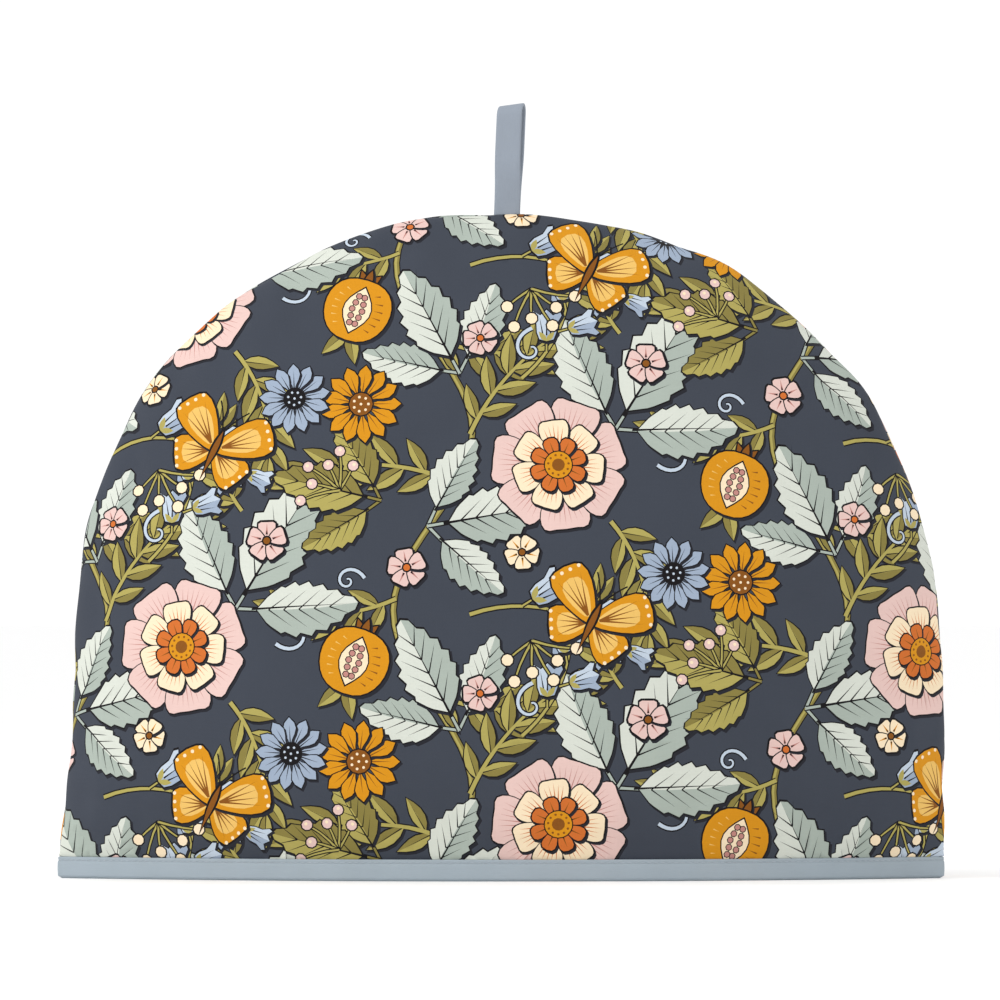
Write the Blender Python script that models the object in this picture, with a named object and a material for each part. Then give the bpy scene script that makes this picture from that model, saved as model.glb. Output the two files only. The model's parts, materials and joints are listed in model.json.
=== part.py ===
"""A padded tea cosy that stands on its bound hem.

Two half-moon panels of wadded cotton meet in a seam that runs over the dome. A tape binds the
open hem inside and out, and a folded tape rises from the top of the seam as a hanging loop.

Lengths are metres and angles are degrees. +Z is up and the table is z = 0. The front panel
looks towards -Y, and the origin is on the table under the middle of the hem.
"""

import functools
import math

import bmesh
import bpy

# The dome as the front view shows it, with the left side leaning in above a flared hem
OUTLINE = (
    # angle from the right end of the hem, distance from the middle of the hem
    (0, 0.1700),
    (7, 0.1716),
    (12, 0.1737),
    (18, 0.1791),
    (24, 0.1859),
    (30, 0.1946),
    (36, 0.2046),
    (42, 0.2149),
    (48, 0.2249),
    (54, 0.2345),
    (60, 0.2403),
    (69, 0.2501),
    (75, 0.2525),
    (82, 0.2542),
    (90, 0.2550),
    (99, 0.2546),
    (105, 0.2513),
    (111, 0.2471),
    (117, 0.2424),
    (126, 0.2325),
    (132, 0.2212),
    (138, 0.2119),
    (144, 0.1998),
    (150, 0.1886),
    (156, 0.1796),
    (162, 0.1733),
    (168, 0.1705),
    (174, 0.1699),
    (180, 0.1700),
)
SHOULDER_HEIGHT = 0.176

# The plan of the hem: a lens, whose pointed ends are the side seams
HEM_HALF_DEPTH = 0.055
LENS_POWER = 2.2

# The wall, an outer cotton, wadding and an inner cotton sewn as one
SEAM_GAP = 0.0003
SEAM_WIDTH = 0.0098
SEAM_CREASE = 0.0016
CREASE_REACH = 0.0004
ROLL_RADIUS = 0.0090
OUTER_PUFF = 0.0045
INNER_PUFF = 0.0012
PUFF_STARTS = 0.0100
PUFF_ENDS = 0.0300
SPREAD_ENDS = 0.0160

# Small gathers that the curved seam draws into both panels
PUCKER_DEPTH = 0.0008
PUCKER_REACH = 0.0200
PUCKERS = (
    # gathers in a full turn, share of the depth, start
    (26, 0.6, 35),
    (41, 0.4, 110),
)

# Broad swells and hollows of the wadding
SWELLS = (
    # panel, across, up, outward push, spread
    ("front_panel", -0.085, 0.085, 0.0022, 0.040),
    ("front_panel", 0.010, 0.150, -0.0014, 0.035),
    ("front_panel", 0.095, 0.060, -0.0016, 0.035),
    ("front_panel", 0.060, 0.185, 0.0014, 0.030),
    ("back_panel", -0.060, 0.170, 0.0015, 0.035),
    ("back_panel", 0.030, 0.085, 0.0016, 0.045),
    ("back_panel", -0.100, 0.060, -0.0016, 0.035),
    ("back_panel", 0.090, 0.130, -0.0014, 0.030),
)

# The binding, a tape folded round the raw edge of the hem
TAPE_THICKNESS = 0.0010
BINDING_HEIGHT = 0.0083
BINDING_EDGE = 0.0008
FIT_GAP = 0.0003
HEM_THICKNESS = 0.0044

# The hanging loop, a flat tape doubled over
LOOP_ACROSS = 0.0023
LOOP_WIDTH = 0.0100
LOOP_THICKNESS = 0.0012
LOOP_HEIGHT = 0.0418
LOOP_ROOT = 0.0062
LOOP_HALF_GAP = 0.0028
LOOP_OPENS_OVER = 0.0220
LOOP_LEAN = 0.0018
LOOP_TWIST = -7
LOOP_TOP_SLANT = 0.13
LOOP_LEG_SHARE = 0.40

# Grid steps
PANEL_COLUMNS = 36
PANEL_ROWS = 26
ROW_CROWDING = 0.96
LOOP_COLUMNS = 4
LOOP_ROWS = 44

PRINTED_COTTON = (0.065, 0.070, 0.090)
TAPE_COTTON = (0.370, 0.430, 0.490)
CLOTH_ROUGHNESS = 0.9

SEAM_TOP = OUTLINE[len(OUTLINE) // 2][1]
CORNER_STRETCH = 1 / math.sin(math.atan(LENS_POWER * HEM_HALF_DEPTH / OUTLINE[-1][1]))
OUTER_INSET = TAPE_THICKNESS + FIT_GAP
INNER_INSET = OUTER_INSET + HEM_THICKNESS
HEM_BOTTOM = TAPE_THICKNESS + FIT_GAP


def smooth_step(value, start, end):
    """0 up to start, 1 from end on, and a soft S between."""
    share = min(max((value - start) / (end - start), 0.0), 1.0)
    return share * share * (3 - 2 * share)


def outline_radius(angle):
    """The dome's edge in the direction of an angle, on a smooth curve through OUTLINE."""
    upper = next(i for i in range(1, len(OUTLINE)) if angle <= OUTLINE[i][0] or i == len(OUTLINE) - 1)
    (start, first), (end, last) = OUTLINE[upper - 1 : upper + 1]
    span = end - start

    def slope(row):
        if row in (0, len(OUTLINE) - 1):
            return 0.0
        before, after = OUTLINE[row - 1], OUTLINE[row + 1]
        return (after[1] - before[1]) / (after[0] - before[0])

    share = (angle - start) / span
    leaving, arriving = slope(upper - 1) * span, slope(upper) * span
    return (
        first * (1 + 2 * share) * (1 - share) ** 2
        + last * (3 - 2 * share) * share**2
        + leaving * share * (1 - share) ** 2
        + arriving * share**2 * (share - 1)
    )


def edge_point(angle, inset):
    """(across, up) of the dome's edge, drawn in towards the middle of the hem by inset."""
    reach = outline_radius(angle) - inset
    return reach * math.cos(math.radians(angle)), reach * math.sin(math.radians(angle))


def solve_angle(value, low, high, measure):
    """The angle between low and high at which measure, which rises from low to high, is value."""
    for _ in range(40):
        middle = (low + high) / 2
        if measure(middle) < value:
            low = middle
        else:
            high = middle
    return (low + high) / 2


@functools.lru_cache(maxsize=None)
def side_across(height, inset):
    """The left and right edges of the dome at a height below the shoulders."""
    right = solve_angle(height, 0, 75, lambda angle: edge_point(angle, inset)[1])
    left = 180 - solve_angle(height, 0, 75, lambda angle: edge_point(180 - angle, inset)[1])
    return edge_point(left, inset)[0], edge_point(right, inset)[0]


@functools.lru_cache(maxsize=None)
def crown_height(across, inset):
    """The height of the dome's edge above a place between the shoulders."""
    angle = 180 - solve_angle(across, 0, 180, lambda turned: edge_point(180 - turned, inset)[0])
    return edge_point(angle, inset)[1]


def crowd_ends(share):
    """0 to 1, with the steps close together at both ends."""
    return (1 - math.cos(math.pi * share)) / 2


def hem_inset(height, layer_inset):
    """How far the outer cloth is drawn in at the side seams, where the binding covers it."""
    return layer_inset * CORNER_STRETCH * (1 - smooth_step(height, PUFF_STARTS, SPREAD_ENDS))


def panel_flat(across_share, up_share, layer):
    """(across, up, inset) of a grid corner, before the panel is given its depth."""
    shoulder = SHOULDER_HEIGHT - (SEAM_WIDTH if layer else 0.0)
    across = crowd_ends(across_share)
    up = up_share - ROW_CROWDING * math.sin(2 * math.pi * up_share) / (2 * math.pi)
    side_height = HEM_BOTTOM + (shoulder - HEM_BOTTOM) * up
    inset = SEAM_WIDTH if layer else hem_inset(side_height, OUTER_INSET)
    crown_inset = SEAM_WIDTH if layer else 0.0
    left, right = side_across(side_height, inset)
    shoulder_left, shoulder_right = side_across(shoulder, crown_inset)
    below_crown = shoulder_left + (shoulder_right - shoulder_left) * across
    crown = crown_height(below_crown, crown_inset)
    height = side_height + smooth_step(up, 0, 1) * (crown - shoulder)
    return left + (right - left) * across, height, inset


def swell(name, across, height):
    """The outward push of the broad swells of one panel."""
    return sum(
        push * math.exp(-((across - x) ** 2 + (height - z) ** 2) / (2 * spread**2))
        for panel, x, z, push, spread in SWELLS
        if panel == name
    )


def pucker(angle, from_seam):
    """The small gathers beside the seam."""
    wave = sum(
        share * math.sin(math.radians(count * angle + start)) for count, share, start in PUCKERS
    )
    return PUCKER_DEPTH * wave * math.exp(-from_seam / PUCKER_REACH)


def panel_point(name, facing, across_share, up_share, layer):
    """Where a corner of a panel's grid goes. Layer 0 is the printed face and layer 1 the inside."""
    across, height, inset = panel_flat(across_share, up_share, layer)
    angle = math.degrees(math.atan2(height, across))
    edge = outline_radius(angle) - inset
    radius = math.hypot(across, height)
    from_seam = max(edge - radius, 0.0)
    on_seam = across_share in (0.0, 1.0) or up_share == 1.0
    above_hem = smooth_step(height, PUFF_STARTS, PUFF_ENDS)
    rolled = math.sqrt(1 - (1 - min(from_seam / ROLL_RADIUS, 1.0)) ** 2)
    lens = 1 - min(radius / edge, 1.0) ** LENS_POWER
    if layer:
        depth = (HEM_HALF_DEPTH - INNER_INSET) * lens + INNER_PUFF * rolled * above_hem
    else:
        uneven = swell(name, across, height) + pucker(angle, from_seam)
        depth = (HEM_HALF_DEPTH - OUTER_INSET) * lens + (OUTER_PUFF + uneven) * rolled * above_hem
        drawn_in = SEAM_CREASE * (1 - smooth_step(from_seam, 0, CREASE_REACH)) * above_hem
        across *= 1 - drawn_in / radius
        height *= 1 - drawn_in / radius
    depth = SEAM_GAP / 2 if on_seam else max(depth, SEAM_GAP / 2)
    return across, facing * depth, height


def loop_path(share):
    """(depth, height) of the loop's middle line, from the foot of one leg to the foot of the other."""
    foot = SEAM_TOP - LOOP_ROOT
    closed = (SEAM_GAP + LOOP_THICKNESS) / 2
    opened = LOOP_HALF_GAP + LOOP_THICKNESS / 2
    bend = SEAM_TOP + LOOP_HEIGHT - opened - LOOP_THICKNESS / 2
    near = min(share, 1 - share)
    side = -1 if share < 0.5 else 1
    if near < LOOP_LEG_SHARE:
        height = foot + (bend - foot) * near / LOOP_LEG_SHARE
        parted = smooth_step(height, SEAM_TOP + TAPE_THICKNESS, SEAM_TOP + LOOP_OPENS_OVER)
        return side * (closed + (opened - closed) * parted), height
    turn = math.pi * (share - LOOP_LEG_SHARE) / (1 - 2 * LOOP_LEG_SHARE)
    return -opened * math.cos(turn), bend + opened * math.sin(turn)


def loop_point(across_share, along_share, layer):
    """Where a corner of the loop's strip goes, leaning and turned a little above the seam."""
    step = 0.001
    depth, height = loop_path(along_share)
    before, after = loop_path(max(along_share - step, 0)), loop_path(min(along_share + step, 1))
    run = math.hypot(after[0] - before[0], after[1] - before[1])
    outward = -(after[1] - before[1]) / run, (after[0] - before[0]) / run
    offset = LOOP_THICKNESS * (0.5 - layer)
    depth += offset * outward[0]
    height += offset * outward[1]
    raised = max(height - SEAM_TOP, 0.0) / LOOP_HEIGHT
    turn = math.radians(LOOP_TWIST) * smooth_step(raised, 0, 0.6)
    across = LOOP_WIDTH * (across_share - 0.5)
    height += LOOP_TOP_SLANT * across * raised
    return (
        LOOP_ACROSS + LOOP_LEAN * raised + across * math.cos(turn) - depth * math.sin(turn),
        across * math.sin(turn) + depth * math.cos(turn),
        height,
    )


def binding_section():
    """(inset, height) round the folded tape's cross-section, a U that holds the hem."""
    far_side = 2 * OUTER_INSET + HEM_THICKNESS
    return (
        (0.0, BINDING_EDGE),
        (0.0, BINDING_HEIGHT),
        (TAPE_THICKNESS, BINDING_HEIGHT),
        (TAPE_THICKNESS, TAPE_THICKNESS),
        (far_side - TAPE_THICKNESS, TAPE_THICKNESS),
        (far_side - TAPE_THICKNESS, BINDING_HEIGHT),
        (far_side, BINDING_HEIGHT),
        (far_side, BINDING_EDGE),
        (far_side - BINDING_EDGE, 0.0),
        (BINDING_EDGE, 0.0),
    )


def binding_point(across_share, facing, inset, height):
    """A point of the binding, on the hem's lens drawn in by inset."""
    share = 2 * crowd_ends(across_share) - 1
    reach = OUTLINE[-1][1] if share < 0 else OUTLINE[0][1]
    depth = (HEM_HALF_DEPTH - inset) * (1 - abs(share) ** LENS_POWER)
    return share * (reach - CORNER_STRETCH * inset), facing * depth, height


def cloth(name, colour):
    """A plain matt material."""
    material = bpy.data.materials.new(name)
    material.use_nodes = True
    shader = material.node_tree.nodes["Principled BSDF"]
    shader.inputs["Base Color"].default_value = (*colour, 1.0)
    shader.inputs["Roughness"].default_value = CLOTH_ROUGHNESS
    shader.inputs["Metallic"].default_value = 0.0
    return material


def add_object(name, shape, material, collection):
    """Puts a finished bmesh in the scene as a smooth object."""
    bmesh.ops.recalc_face_normals(shape, faces=shape.faces)
    mesh = bpy.data.meshes.new(name)
    shape.to_mesh(mesh)
    shape.free()
    mesh.shade_smooth()
    mesh.set_sharp_from_angle(angle=math.radians(50))
    mesh.materials.append(material)
    made = bpy.data.objects.new(name, mesh)
    collection.objects.link(made)
    return made


def add_sheet(name, columns, rows, place, material, collection):
    """A closed sheet: a flat grid thickened to two layers, whose corners place() then moves."""
    shape = bmesh.new()
    bmesh.ops.create_grid(shape, x_segments=columns, y_segments=rows, size=0.5)
    thickened = bmesh.ops.extrude_face_region(shape, geom=shape.faces[:])
    for item in thickened["geom"]:
        if isinstance(item, bmesh.types.BMVert):
            item.co.z = 1.0
    for corner in shape.verts:
        across = round((corner.co.x + 0.5) * columns) / columns
        along = round((corner.co.y + 0.5) * rows) / rows
        corner.co = place(across, along, round(corner.co.z))
    return add_object(name, shape, material, collection)


def add_binding(material, collection):
    """The folded tape: its section carried along the front of the hem and back behind it."""
    shape = bmesh.new()
    steps = range(PANEL_COLUMNS)
    stations = [(i / PANEL_COLUMNS, -1) for i in steps] + [(1 - i / PANEL_COLUMNS, 1) for i in steps]
    rings = [
        [shape.verts.new(binding_point(share, facing, *corner)) for corner in binding_section()]
        for share, facing in stations
    ]
    for ring, following in zip(rings, rings[1:] + rings[:1]):
        for i in range(len(ring)):
            shape.faces.new((ring[i - 1], ring[i], following[i], following[i - 1]))
    return add_object("hem_binding", shape, material, collection)


def add_loop_pocket(collection):
    """A cutter for the slot in the seam that holds the loop's two legs."""
    shape = bmesh.new()
    bmesh.ops.create_cube(shape, size=1.0)
    width = LOOP_WIDTH + 2 * FIT_GAP
    depth = SEAM_GAP + 2 * LOOP_THICKNESS + 2 * FIT_GAP
    height = 2 * (LOOP_ROOT + FIT_GAP)
    bmesh.ops.scale(shape, vec=(width, depth, height), verts=shape.verts)
    bmesh.ops.translate(shape, vec=(LOOP_ACROSS, 0, SEAM_TOP), verts=shape.verts)
    mesh = bpy.data.meshes.new("loop_pocket")
    shape.to_mesh(mesh)
    shape.free()
    cutter = bpy.data.objects.new("loop_pocket", mesh)
    cutter.hide_render = True
    cutter.display_type = "WIRE"
    collection.objects.link(cutter)
    return cutter


def add_panel(name, facing, material, collection, pocket):
    """One padded half-moon, with the loop's slot cut in its seam."""

    def place(across, up, layer):
        return panel_point(name, facing, across, up, layer)

    panel = add_sheet(name, PANEL_COLUMNS, PANEL_ROWS, place, material, collection)
    slot = panel.modifiers.new("loop slot", "BOOLEAN")
    slot.operation = "DIFFERENCE"
    slot.object = pocket
    return panel


def build():
    """Clears the scene and makes the cosy."""
    for old in list(bpy.data.objects):
        bpy.data.objects.remove(old)
    cosy = bpy.data.collections.new("tea_cosy")
    cutters = bpy.data.collections.new("cutters")
    bpy.context.scene.collection.children.link(cosy)
    bpy.context.scene.collection.children.link(cutters)
    printed = cloth("printed_cotton", PRINTED_COTTON)
    tape = cloth("tape_cotton", TAPE_COTTON)
    pocket = add_loop_pocket(cutters)
    add_panel("front_panel", -1, printed, cosy, pocket)
    add_panel("back_panel", 1, printed, cosy, pocket)
    add_binding(tape, cosy)
    add_sheet("hanging_loop", LOOP_COLUMNS, LOOP_ROWS, loop_point, tape, cosy)


build()
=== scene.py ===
# %% [markdown]
# # A padded tea cosy in printed cotton
#
# A tea cosy is a small padded jacket for a teapot: two half-moon panels of wadded cotton, sewn
# together over the dome, with a tape round the open hem and a loop at the top to lift it by.
# This lesson dresses a plain model of it. The model fixes every size, and each cell makes one
# piece or one finish over it.

# %% Start from the fixed frame
import json
import math

import bmesh
import bpy
import numpy as np
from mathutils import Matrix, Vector
from mathutils.bvhtree import BVHTree
from mathutils.geometry import delaunay_2d_cdt

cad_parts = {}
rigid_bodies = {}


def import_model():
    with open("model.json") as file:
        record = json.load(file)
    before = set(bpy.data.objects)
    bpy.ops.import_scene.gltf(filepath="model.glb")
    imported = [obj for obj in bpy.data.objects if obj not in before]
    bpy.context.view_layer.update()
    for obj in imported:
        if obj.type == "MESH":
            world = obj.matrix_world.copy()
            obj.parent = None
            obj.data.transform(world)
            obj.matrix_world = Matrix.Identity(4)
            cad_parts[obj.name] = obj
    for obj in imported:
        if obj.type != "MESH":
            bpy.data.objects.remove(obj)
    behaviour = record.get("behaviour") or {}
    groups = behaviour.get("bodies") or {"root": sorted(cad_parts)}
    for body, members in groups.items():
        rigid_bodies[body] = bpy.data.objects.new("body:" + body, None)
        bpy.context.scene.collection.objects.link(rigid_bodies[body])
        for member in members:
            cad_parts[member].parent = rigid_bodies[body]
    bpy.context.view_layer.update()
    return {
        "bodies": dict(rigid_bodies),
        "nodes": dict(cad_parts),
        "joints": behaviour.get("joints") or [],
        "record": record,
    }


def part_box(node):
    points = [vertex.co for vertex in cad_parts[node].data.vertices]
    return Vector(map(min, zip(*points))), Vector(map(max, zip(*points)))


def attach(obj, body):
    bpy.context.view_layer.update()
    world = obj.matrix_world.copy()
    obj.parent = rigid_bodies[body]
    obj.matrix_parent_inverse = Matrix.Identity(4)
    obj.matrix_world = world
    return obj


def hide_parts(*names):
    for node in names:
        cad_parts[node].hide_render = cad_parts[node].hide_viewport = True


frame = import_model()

hem_low, hem_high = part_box("hem_binding")
loop_low, loop_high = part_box("hanging_loop")

# %% [markdown]
# ## The camera
#
# The photograph looks square at the front from so far off that nothing tapers. A very long lens
# does the same: the further the camera stands back, the less the near hem grows. The picture is
# 1000 pixels wide, and the hem, whose width is known, says how much cloth one pixel covers.

# %% The camera
PICTURE = 1000
HEM_LEFT_PIXEL, HEM_RIGHT_PIXEL, TABLE_PIXEL = 58, 944, 878
CAMERA_DISTANCE = 6.0
SENSOR = 0.036


def in_scene(name, data):
    """A new object of the scene, with its data."""
    made = bpy.data.objects.new(name, data)
    bpy.context.scene.collection.objects.link(made)
    return made


metres_a_pixel = (hem_high.x - hem_low.x) / (HEM_RIGHT_PIXEL - HEM_LEFT_PIXEL)
middle_pixel = (HEM_LEFT_PIXEL + HEM_RIGHT_PIXEL) / 2
camera_data = bpy.data.cameras.new("front camera")
camera_data.sensor_width = SENSOR * 1000
camera_data.lens = 1000 * SENSOR * CAMERA_DISTANCE / (PICTURE * metres_a_pixel)
camera_data.clip_end = 100
camera = in_scene("front camera", camera_data)
camera.location = (
    (PICTURE / 2 - middle_pixel) * metres_a_pixel,
    -CAMERA_DISTANCE,
    (TABLE_PIXEL - PICTURE / 2) * metres_a_pixel,
)
camera.rotation_euler = (math.radians(90), 0, 0)
bpy.context.scene.camera = camera
print("lens", round(camera_data.lens), "mm, camera height", round(camera.location.z, 4))

# %% [markdown]
# ## A small language for materials
#
# A material is a graph of nodes, and a graph is hard to read as code. Two helpers make it read
# like sums: a Reading is one value on its way through the graph, and adding or multiplying
# Readings puts the Math nodes in. A Recipe is one material, and makes any other node it needs.


# %% Readings and recipes
class Reading:
    """One value of a material, which takes part in ordinary sums."""

    def __init__(self, recipe, socket):
        self.recipe = recipe
        self.socket = socket

    def sum_with(self, operation, *others):
        return self.recipe.add("Math", {"operation": operation}, dict(enumerate(others)))

    def __add__(self, other):
        return self.sum_with("ADD", self, other)

    def __rsub__(self, other):
        return self.sum_with("SUBTRACT", other, self)

    def __mul__(self, other):
        return self.sum_with("MULTIPLY", self, other)

    def __pow__(self, other):
        return self.sum_with("POWER", self, other)

    __radd__ = __add__
    __rmul__ = __mul__

    def sine(self):
        return self.sum_with("SINE", self)

    def size(self):
        return self.sum_with("ABSOLUTE", self)


class Recipe:
    """One material under construction."""

    def __init__(self, name):
        self.material = bpy.data.materials.new(name)
        self.material.use_nodes = True
        self.tree = self.material.node_tree
        self.shader = self.tree.nodes["Principled BSDF"]

    def feed(self, socket, value):
        if isinstance(value, Reading):
            self.tree.links.new(value.socket, socket)
        else:
            socket.default_value = value

    def add(self, kind, settings=None, inputs=None, output=0):
        """A node of a kind, with its settings and the values of its sockets, as a Reading."""
        node = self.tree.nodes.new("ShaderNode" + kind)
        for name, value in (settings or {}).items():
            setattr(node, name, value)
        for name, value in (inputs or {}).items():
            self.feed(node.inputs[name], value)
        return Reading(self, node.outputs[output])

    def noise(self, place, scale, detail=2.0):
        inputs = {"Vector": place, "Scale": scale, "Detail": detail, "Roughness": 0.5}
        return self.add("TexNoise", {"noise_dimensions": "3D"}, inputs)

    def mix(self, kind, first, second, share):
        """Two colours mixed in one of Blender's ways. share is how much the second one counts."""
        # The names of this node's sockets repeat, so the colour ones go by number.
        settings = {"data_type": "RGBA", "blend_type": kind}
        return self.add("Mix", settings, {0: share, 6: first, 7: second}, output=2)

    def bump(self, height, distance, strength=1.0):
        return self.add(
            "Bump", inputs={"Height": height, "Distance": distance, "Strength": strength}
        )

    def finish(self, **values):
        """Sets the shader's own sockets, named with _ for a space."""
        for name, value in values.items():
            self.feed(self.shader.inputs[name.replace("_", " ")], value)
        return self.material


def linear(red, green, blue):
    """An sRGB colour, 0 to 255, as the linear colour with alpha that Blender keeps."""
    shares = np.array([red, green, blue]) / 255
    bright = ((shares + 0.055) / 1.055) ** 2.4
    return (*np.where(shares <= 0.04045, shares / 12.92, bright).tolist(), 1.0)


print("helpers ready")

# %% [markdown]
# ## The floor and the light
#
# The cosy was photographed on white in a soft, even light. A pale floor, a white sky and three
# large soft panels do that. The panel on the left is a little stronger, so that the padding
# still shows its shape.


# %% The floor and the light
FLOOR_RADIUS = 12.0
SKY = 1.05
SOFT_BOXES = (
    # name, place, width, watts
    ("left light", (-1.9, -1.2, 1.7), 1.0, 26),
    ("right light", (1.9, -1.3, 1.3), 1.4, 1),
    ("back light", (0.5, 2.2, 1.7), 1.5, 6),
)

bpy.ops.mesh.primitive_circle_add(vertices=96, radius=FLOOR_RADIUS, fill_type="NGON")
floor = bpy.context.object
floor.name = "studio_floor"
paint = Recipe("pale floor")
speckle = paint.noise(paint.add("TexCoord", output="Object"), 60)
floor.data.materials.append(
    paint.finish(
        Base_Color=paint.mix("MIX", (0.93, 0.93, 0.93, 1), (0.96, 0.96, 0.96, 1), speckle),
        Roughness=0.9,
        Specular_IOR_Level=0.1,
    )
)

world = bpy.data.worlds.new("white studio")
bpy.context.scene.world = world
world.use_nodes = True
sky = world.node_tree.nodes["Background"]
sky.inputs["Color"].default_value = (1.0, 1.0, 1.0, 1.0)
sky.inputs["Strength"].default_value = SKY

for name, place, width, watts in SOFT_BOXES:
    lamp = bpy.data.lights.new(name, "AREA")
    lamp.size = width
    lamp.energy = watts
    light = in_scene(name, lamp)
    light.location = place
    towards = Vector((0, 0, 0.12)) - light.location
    light.rotation_euler = towards.to_track_quat("-Z", "Y").to_euler()
    light.visible_camera = False
bpy.context.scene.view_settings.view_transform = "Standard"
print("floor, sky and", len(SOFT_BOXES), "soft boxes")

# %% [markdown]
# ## The shape of a panel
#
# Each panel is a half-moon of wadded cotton. Its edge is the dome that the photograph shows, a
# little narrower on the left above a flared hem. The hem stands open in a lens, and every row of
# the cloth above it is the same lens, smaller, until it shuts at the seam. The wadding rounds the
# cloth over to the seam, and the seam and the binding pull small gathers into it. A grid laid
# between the two sides and the crown keeps its rows level at the hem and runs with the seam above.

# %% Sizes of the panels
DOME_EDGE = (
    # angle from the right end of the hem, distance from the middle of the hem
    (0, 0.1700),
    (7, 0.1716),
    (12, 0.1737),
    (18, 0.1791),
    (24, 0.1859),
    (30, 0.1946),
    (36, 0.2046),
    (42, 0.2149),
    (48, 0.2249),
    (54, 0.2345),
    (60, 0.2403),
    (69, 0.2501),
    (75, 0.2525),
    (82, 0.2542),
    (90, 0.2550),
    (99, 0.2546),
    (105, 0.2513),
    (111, 0.2471),
    (117, 0.2424),
    (126, 0.2325),
    (132, 0.2212),
    (138, 0.2119),
    (144, 0.1998),
    (150, 0.1886),
    (156, 0.1796),
    (162, 0.1733),
    (168, 0.1705),
    (174, 0.1699),
    (180, 0.1700),
)
SHOULDER_HEIGHT = 0.176
HALF_DEPTH = (hem_high.y - hem_low.y) / 2
HALF_WIDTH = (hem_high.x - hem_low.x) / 2
LENS_POWER = 2.2
TAPE = 0.0010
FIT = 0.0003
HEM_THICKNESS = 0.0044
BINDING_HEIGHT = hem_high.z
OUTER_INSET = TAPE + FIT
INNER_INSET = OUTER_INSET + HEM_THICKNESS
SIDE_STRETCH = 1 / math.sin(math.atan(LENS_POWER * HALF_DEPTH / HALF_WIDTH))
HEM_BOTTOM = TAPE + FIT
TUCK_BELOW, TUCK_ABOVE = 0.0006, 0.0003
SEAM_HALF_GAP = 0.00015
SEAM_WIDTH = 0.0098
SEAM_CREASE = 0.0017
CREASE_REACH = 0.0004
ROLL = 0.0095
PUFF = 0.0050
INNER_PUFF = 0.0012
COLUMNS, ROWS = 132, 104
CROWDING = 0.78


def ease(value, start, end):
    """0 up to start, 1 from end on, and a soft S between."""
    share = np.clip((value - start) / (end - start), 0, 1)
    return share * share * (3 - 2 * share)


def crowd(share):
    """0 to 1, with the steps close together at both ends."""
    return share - CROWDING * np.sin(2 * np.pi * share) / (2 * np.pi)


def dome_reach(angle):
    """How far the dome's edge lies from the middle of the hem, on a smooth curve."""
    turns, reaches = np.array(DOME_EDGE).T
    slopes = np.zeros(len(turns))
    slopes[1:-1] = (reaches[2:] - reaches[:-2]) / (turns[2:] - turns[:-2])
    row = np.clip(np.searchsorted(turns, angle) - 1, 0, len(turns) - 2)
    span = turns[row + 1] - turns[row]
    t = (angle - turns[row]) / span
    return (
        reaches[row] * (1 + 2 * t) * (1 - t) ** 2
        + reaches[row + 1] * (3 - 2 * t) * t**2
        + slopes[row] * span * t * (1 - t) ** 2
        + slopes[row + 1] * span * t**2 * (t - 1)
    )


def edge_line(inset):
    """The dome's edge, drawn in, from the right end of the hem to the left, as complex numbers."""
    angle = np.linspace(0, 180, 1441)
    return (dome_reach(angle) - inset) * np.exp(1j * np.radians(angle))


# %% A grid between the sides and the crown
def lay_grid(side_inset, crown_inset):
    """The grid's places in the front view: real across, imaginary up.

    side_inset takes a height, and says how far the sides are drawn in there.
    """
    shoulder = SHOULDER_HEIGHT - crown_inset
    share = crowd(np.linspace(0, 1, COLUMNS + 1))
    crown = edge_line(crown_inset)
    quarter = len(crown) // 2

    def sides(height, edge):
        right = np.interp(height, edge.imag[:quarter], edge.real[:quarter])
        left = np.interp(height, edge.imag[:quarter:-1], edge.real[:quarter:-1])
        return left, right

    low, high = sides(shoulder, crown)
    over = slice(quarter // 4, 7 * quarter // 4)
    rise = np.interp(low + (high - low) * share, crown.real[over][::-1], crown.imag[over][::-1])
    grid = []
    for up in crowd(np.linspace(0, 1, ROWS + 1)):
        height = HEM_BOTTOM + (shoulder - HEM_BOTTOM) * up
        left, right = sides(height, edge_line(side_inset(height)))
        line = height + ease(up, 0, 1) * (rise - shoulder)
        grid.append(left + (right - left) * share + 1j * line)
    return np.array(grid)


def tucked_in(height):
    """The outer cloth draws in at the sides where the binding covers it."""
    free = ease(height, BINDING_HEIGHT - TUCK_BELOW, BINDING_HEIGHT + TUCK_ABOVE)
    return OUTER_INSET * SIDE_STRETCH * (1 - free)


def seam_reach(place):
    """How far the outer cloth's seam lies from the middle of the hem, past each place."""
    return dome_reach(np.degrees(np.angle(place))) - tucked_in(place.imag)


def rim_mask(grid):
    """Which places of a grid lie on the seam."""
    mask = np.zeros(grid.shape, bool)
    mask[:, [0, -1]] = mask[-1] = True
    return mask


outer_grid = lay_grid(tucked_in, 0.0)
inner_grid = lay_grid(lambda height: SEAM_WIDTH, SEAM_WIDTH)
print("a panel's grid:", outer_grid.shape)

# %% [markdown]
# ### The padding
#
# The depth of the cloth is a sum of plain parts: the lens, the rounding over the wadding, broad
# swells where the wadding lies unevenly, and gathers. Each gather is a few sine waves of unlike
# length that fade away from the seam or the binding that causes them.

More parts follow.
